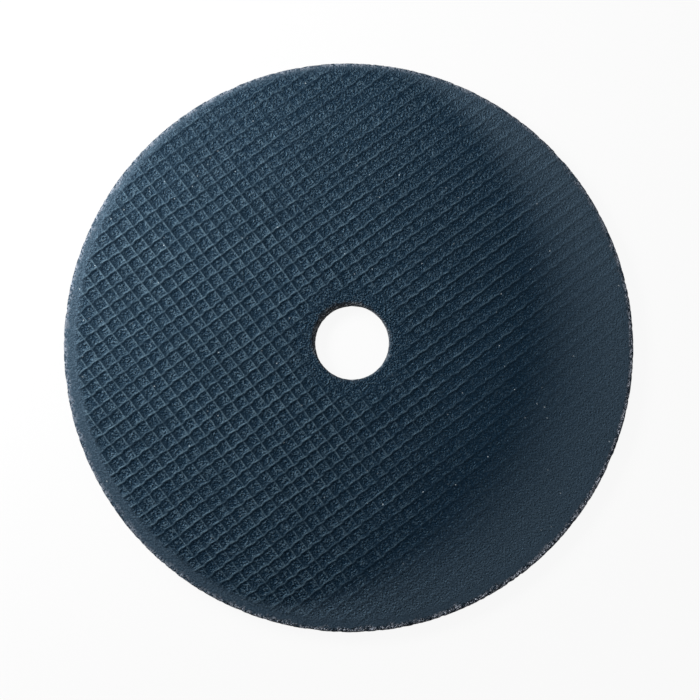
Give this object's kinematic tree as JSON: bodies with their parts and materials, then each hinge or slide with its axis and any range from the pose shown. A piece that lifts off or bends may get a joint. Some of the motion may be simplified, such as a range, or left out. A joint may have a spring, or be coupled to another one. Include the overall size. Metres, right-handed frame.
{
  "type": "cut off wheel",
  "caption": "Thin round resin-bonded cut off wheel, dark slate, with a square woven imprint on its face and a plain round bore.",
  "frame": {"origin": "centre of the bore on the plane of the back face", "axes": "+Z along the bore, out of the woven face; +X to the right and +Y up as the wheel is seen from above"},
  "size_m": [0.076, 0.076, 0.0016],
  "materials": {
    "abrasive": "matt, gritty, resin-bonded abrasive grain"
  },
  "bodies": {
    "root": {"abrasive_wheel": "abrasive"}
  },
  "joints": []
}
